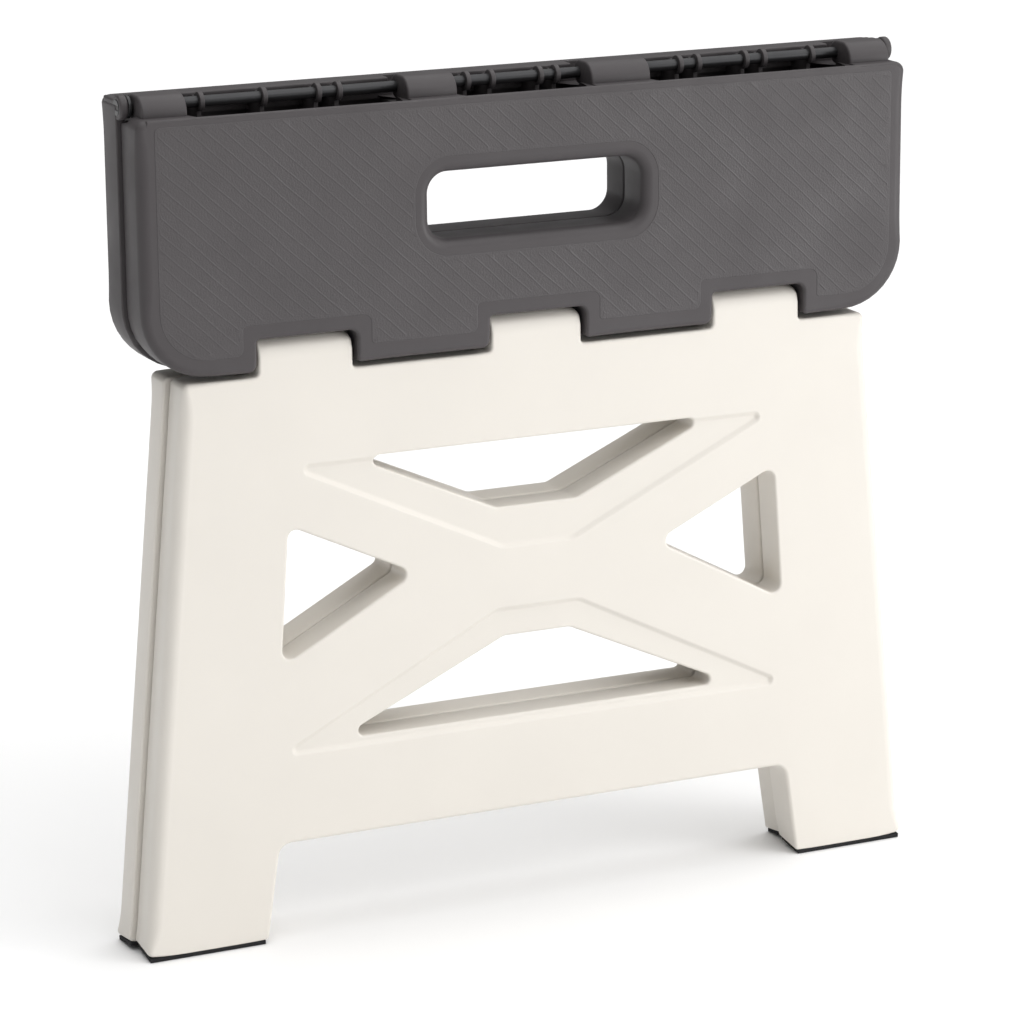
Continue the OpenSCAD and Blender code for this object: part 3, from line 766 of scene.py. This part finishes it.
def eyeProfile(radius, back, top, low, front=0.8, fillet=0.8):
    # an eye round the rod with a web behind it whose top is flat
    rise = top - axisZ
    a0 = math.asin(rise / radius) + 0.14
    a = np.linspace(a0, 1.5 * math.pi - 0.05, 26)
    eye = np.c_[radius * np.cos(a), axisZ + radius * np.sin(a)]
    rim = [(front, axisZ - radius - 0.3), (front, low), (back, low), (back, top), (eye[0, 0] + fillet, top)]
    sides = [eye]
    for (d0, z0), (d1, z1) in zip(rim, rim[1:]):
        t = np.linspace(0, 1, max(int(math.hypot(d1 - d0, z1 - z0) / 1.6), 1) + 1)[:-1]
        sides.append(np.c_[d0 + t * (d1 - d0), z0 + t * (z1 - z0)])
    return np.vstack(sides + [rim[-1:]])


def boxProfile(d0, d1, z0, z1, r):
    return outline(boxCorners(d0, d1, z0, z1, r), [0] * 4, 1.5, 5)[0]


hingeBars = {"rib": 1.8, "band": 1.8, "eye": 3.4, "lug": 4.4,
             "ribs": (-0.807, -0.652, -0.517, -0.465, -0.137, -0.073, 0.053, 0.097, 0.427, 0.477, 0.607,
                      0.657, 0.790),
             "shortRibs": (-0.585, 0.142, 0.836)}


def hingeParts(which):
    parts = []
    if which == "front":
        for a, b in fingers:
            parts += barAlong(fingerProfile(), a, b, 0.8)
        return parts
    t = hingeBars["rib"] / 2
    top = steps["rear"]["top"]
    for a, b in zones:
        lip = boxProfile(5.4, 12.6, top - hingeBars["band"], top - 0.02, 0.6)
        parts += barAlong(lip, a + 0.5, b - 0.5, 0.4)
    for f in hingeBars["ribs"]:
        profile = eyeProfile(hingeBars["eye"], 14.6, axisZ + 1.5, pocketFloor - 1)
        parts += barAlong(profile, f * stepHalf - t, f * stepHalf + t, 0.3)
    for f in hingeBars["shortRibs"]:
        web = boxProfile(5.4, 13.4, stepTop, top - 1, 0.5)
        parts += barAlong(web, f * stepHalf - t, f * stepHalf + t, 0.3)
    for x0, x1 in ((-151.25, -lugInner), (lugInner, 151.25)):
        parts += barAlong(eyeProfile(hingeBars["lug"], 13.5, top - 0.03, axisZ - 8), x0, x1, 0.9)
    return parts


def makeStep(which):
    step = steps[which]
    half, top = step["half"], step["top"]
    corners, rolls = notchedBottom(half, stepBottom, notchTop, 0, shell["corner"], shell["tabRoll"],
                                   shell["notchRoll"])
    if which == "front":
        edges = [x for zone in zones for x in zone] + [-fingerEnd, fingerEnd]
    else:
        edges = [-lugInner, lugInner]
    splits = sorted([x + e for x in edges for e in (-shell["ramp"], shell["ramp"])], reverse=True)
    corners += [(half, top, step["topCorner"])] + [(x, top, 0) for x in splits]
    corners += [(-half, top, step["topCorner"])]
    rolls += [shell["roll"]] + [step["topRoll"]] * (len(splits) + 1) + [shell["roll"]]
    inner = stepInner(which)

    def outer(x, z):
        return np.full(np.shape(x), halfOut)

    parts, outLoops, inLoops = [], [], []
    for loop in (outline(corners, rolls, 3.0, 10), handleOutline(0, handle["roll"])):
        verts, quads, outLoop, inLoop = rolledWall(loop, outer, inner, steps=8)
        parts.append((verts, quads))
        outLoops.append(outLoop)
        inLoops.append(inLoop)
    parts.append(faceBetween(outLoops, [], [outer]))
    lines, level = stepCells(half)
    if which == "front":
        for a, b in zones:
            lines += frameLines(a, b, pocketFloor, top)
        for side in (-1, 1):
            a, b = sorted((side * fingerEnd, side * (half + 5)))
            lines += frameLines(a, b, axisZ - 5, top)
    else:
        for a, b in zones:
            lines += frameLines(a, b, pocketFloor, stepTop - 2.9, 1.0)
            reach = np.arange(a, b, 3.0)
            lines += [np.c_[reach, np.full(len(reach), stepTop - 3 + e)] for e in (-0.05, 0.05)]
        lines += frameLines(-lugInner, lugInner, axisZ - 4.9, top, 1.0)
    reach = np.arange(-half, half, 2.0)
    lines += [np.c_[reach, np.full(len(reach), notchTop + 0.5 - t)] for t in (0, 0.6, 1.2, 1.8, 2.4)]
    lines += [np.c_[reach, np.full(len(reach), pinZ - t)] for t in (0, 0.8, 1.6, 2.3, 2.9)]
    deep = halfOut - shell["skin"]
    backs = [inner, lambda x, z: np.full(np.shape(x), deep)]
    parts.append(faceBetween(inLoops, lines, backs, level, clear=0.03))
    return putMesh(which + "StepShell", parts + hingeParts(which), step["side"], step["body"],
                   [step["node"]], finishes["grey_shell"])


for which in steps:
    makeStep(which)
print("step shells done")

# Grip skins

grips = {
    "front": {"side": -1, "body": "front_step_body", "node": "front_grip"},
    "rear": {"side": 1, "body": "rear_step_body", "node": "rear_grip"},
}
grip = {"border": 6.1, "top": 2.5, "notch": 5.1, "slot": 5.7, "proud": 0.12, "back": 0.6, "roll": 0.3,
        "pitch": 4.1, "lean": 42.5, "half": 0.36, "height": 0.11, "phase": 0.0, "wobble": 0.13, "fade": 0.7}


# Ridge height at x, z. With s across the ridges and t along them, ridge k lies where s is k times the
# pitch plus a small wobble in t, and its section is an eased hump.
def ridgeFrame():
    lean = math.radians(grip["lean"])
    across = np.array([math.sin(lean), math.cos(lean)])
    along = np.array([math.cos(lean), -math.sin(lean)])

    def wobble(t, k):
        return grip["wobble"] * (np.sin(t / 7.3 + 2.1 * k) + 0.6 * np.sin(t / 3.1 + 1.3 * k))

    return across, along, wobble


def makeGrip(which):
    part = grips[which]
    across, along, wobble = ridgeFrame()
    half = stepHalf - grip["border"]
    low, top = stepBottom + grip["border"], stepTop - grip["top"]
    corners, rolls = notchedBottom(half, low, notchTop + grip["notch"], grip["notch"],
                                   shell["corner"] - grip["border"], grip["roll"], grip["roll"])
    corners += [(half, top, 2.0), (-half, top, 2.0)]
    loops = [outline(corners, [grip["roll"]] * len(corners), 3.0, 9),
             handleOutline(grip["slot"], grip["roll"])]
    edges = [loop[0] for loop in loops]
    base = halfOut + grip["proud"]

    def outer(x, z):
        q = np.c_[np.ravel(x), np.ravel(z)]
        s, t = q @ across - grip["phase"], q @ along
        k = np.round(s / grip["pitch"])
        off = np.abs(s - k * grip["pitch"] - wobble(t, k))
        inside = eased((distanceTo(q, edges) - 0.5) / grip["fade"])
        rise = grip["height"] * eased(1 - off / grip["half"]) * inside
        return (base + rise).reshape(np.shape(x))

    def inner(x, z):
        return np.full(np.shape(x), halfOut - grip["back"])

    parts, outLoops, inLoops = [], [], []
    for loop in loops:
        verts, quads, outLoop, inLoop = rolledWall(loop, outer, inner, innerRoll=0.05, steps=4)
        parts.append((verts, quads))
        outLoops.append(outLoop)
        inLoops.append(inLoop)
    box = np.array([(x, z) for x in (-half, half) for z in (low, top)])
    ends, reach = box @ across - grip["phase"], box @ along
    t = np.arange(reach.min(), reach.max(), 3.2)
    lines = []
    for k in range(int(ends.min() / grip["pitch"]), int(ends.max() / grip["pitch"]) + 2):
        for off in (-1.5, -1.05, -0.5, 0.0, 0.5, 1.05, 1.5):
            s = k * grip["pitch"] + wobble(t, k) + off * grip["half"] + grip["phase"]
            lines.append(s[:, None] * across + t[:, None] * along)
    for loop in loops:
        ring = loop[0] + 1.2 * loop[1]
        lines.append(closed(ring))
    parts.append(faceBetween(outLoops, lines, [outer], clear=0.35))
    parts.append(faceBetween(inLoops, [], [inner]))
    return putMesh(which + "GripSkin", parts, part["side"], part["body"], [part["node"]],
                   finishes["grip_skin"], sharp=60)


for which in grips:
    makeGrip(which)
print("grip skins done")

# Plugs, washers, pads and rods

plug = {"proud": 0.18, "roll": 0.45, "slot": 0.9, "slotDeep": 0.5}
washer = {"roll": 0.25, "bore": 2.05}


def ringProfile(radius, out, z, count=40):
    a = np.arange(count) * 2 * math.pi / count
    return np.c_[out + radius * np.cos(a), z + radius * np.sin(a)]


# A plug is a round bar with rolled ends. Its outer end is dished, sinking towards a slot across the middle
# by an eased step.
def makePlug(node, body, slotName, proud):
    low, high = sizeOf(node)
    radius, z = (high[2] - low[2]) / 2, (high[2] + low[2]) / 2
    out = (low[1] + high[1]) / 2
    end = 1 if high[0] > 0 else -1
    x0, x1 = (low[0], high[0] + proud) if end > 0 else (low[0] - proud, high[0])
    ring = ringProfile(1.0, 0, 0)
    a = np.linspace(0, np.pi / 2, 6)
    r = plug["roll"]
    wallX = np.r_[x0 + r * (1 - np.cos(a)), x1 - r * (1 - np.cos(a[::-1]))]
    wallR = radius - r * np.r_[1 - np.sin(a), 1 - np.sin(a[::-1])]
    faceR = (radius - r) * np.linspace(1, 0, 16)[1:-1]
    xs = np.r_[np.full(len(faceR), x0), wallX, np.full(len(faceR), x1)]
    rs = np.r_[faceR[::-1], wallR, faceR]
    grid = np.empty((len(xs), len(ring), 3))
    grid[..., 1:] = ring * rs[:, None, None]
    grid[..., 0] = xs[:, None]
    dip = plug["slotDeep"] * eased((plug["slot"] - np.abs(grid[..., 2])) / 0.35)
    dip = dip * eased((radius - r - 0.2 - rs[:, None]) / 0.3)
    face = (np.arange(len(xs)) >= len(xs) - len(faceR)) if end > 0 else (np.arange(len(xs)) < len(faceR))
    grid[..., 0] -= np.where(face[:, None], end * dip, 0)
    grid[..., 1] += out
    grid[..., 2] += z
    count, rows = len(ring), len(xs)
    tips = np.array([(xs[0] + (plug["slotDeep"] if end < 0 else 0), out, z),
                     (xs[-1] - (plug["slotDeep"] if end > 0 else 0), out, z)])
    k = np.arange(count)
    fans = [np.c_[k, (k + 1) % count, np.full(count, rows * count)],
            np.c_[(rows - 1) * count + k, (rows - 1) * count + (k + 1) % count,
                  np.full(count, rows * count + 1)]]
    verts = np.vstack([grid.reshape(-1, 3), tips])
    return putMesh(pieceName(node), [(verts, gridQuads(rows, count), *fans)], 1, body, [node],
                   finishes[slotName])


# A washer is a ring with every edge rolled by a quarter circle
def makeWasher(node, body):
    low, high = sizeOf(node)
    out, z = (low[1] + high[1]) / 2, (low[2] + high[2]) / 2
    outerR, r, bore = (high[2] - low[2]) / 2, washer["roll"], washer["bore"]
    a = np.linspace(0, np.pi / 2, 5)
    corners = [(low[0], outerR, 1, -1), (high[0], outerR, -1, -1),
               (high[0], bore, -1, 1), (low[0], bore, 1, 1)]
    section = []
    for n, (x, radius, sx, sr) in enumerate(corners):
        u, v = (1 - np.cos(a), 1 - np.sin(a)) if n % 2 == 0 else (1 - np.sin(a), 1 - np.cos(a))
        section.append(np.c_[x + sx * r * u, radius + sr * r * v])
    section = np.vstack(section)
    turn = np.arange(48) * 2 * math.pi / 48
    verts = np.stack([np.broadcast_to(section[:, 0], (48, len(section))),
                      out + np.cos(turn)[:, None] * section[:, 1],
                      z + np.sin(turn)[:, None] * section[:, 1]], -1)
    i, j = np.meshgrid(np.arange(48), np.arange(len(section)), indexing="ij")
    m, n = (i + 1) % 48, (j + 1) % len(section)
    w = len(section)
    quads = np.stack([i * w + j, i * w + n, m * w + n, m * w + j], -1).reshape(-1, 4)
    return putMesh(pieceName(node), [(verts.reshape(-1, 3), quads)], 1, body, [node],
                   finishes["black_trim"])


for end in ("left", "right"):
    makePlug("hinge_plug_" + end, "rear_step_body", "black_trim", plug["proud"])
    makePlug("front_rod_plug_" + end, "front_step_body", "grey_trim", 0.25)
    makePlug("rear_rod_plug_" + end, "rear_step_body", "grey_trim", 0.25)
    makeWasher("hinge_washer_" + end, "rear_step_body")
print("plugs and washers done")


pad = {"inset": 0.4, "thick": 1.58, "round": 0.35, "groove": 0.3, "groovePitch": 2.64,
       "grooveHalf": 0.45, "roll": 0.08}


# A pad is a bar along X that follows the sloping sole. Its underside has grooves: z rises by the
# groove depth times an eased hump at every groove pitch.
def makePad(node, leg):
    low, high = sizeOf(node)
    slope = math.tan(math.radians(panel["splay"]))
    near, far = seam + pad["inset"], legOut - pad["inset"]
    d = np.linspace(near, far, 90)
    off = np.abs((d - near) % pad["groovePitch"] - pad["groovePitch"] / 2)
    ends = np.minimum(d - near, far - d)
    rise = pad["round"] * (1 - np.sqrt(np.clip(1 - (1 - np.clip(ends / pad["round"], 0, 1)) ** 2, 0, 1)))
    under = (legOut - d) * slope + rise + pad["groove"] * eased(1 - off / pad["grooveHalf"])
    top = np.linspace(far, near, 12)
    profile = np.vstack([np.c_[d, under], np.c_[top, (legOut - top) * slope + pad["thick"]]])
    return putMesh(pieceName(node), barAlong(profile, low[0], high[0], pad["roll"]), leg["side"],
                   leg["body"], [node], finishes["pad_rubber"])


for which, leg in legs.items():
    for end in ("left", "right"):
        makePad(which + "_pad_" + end, leg)
for node in ("hinge_rod", "front_leg_rod", "rear_leg_rod"):
    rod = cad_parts[node]
    rod.data.materials.clear()
    rod.data.materials.append(finishes["rod_steel"])
print("pads and rods done")
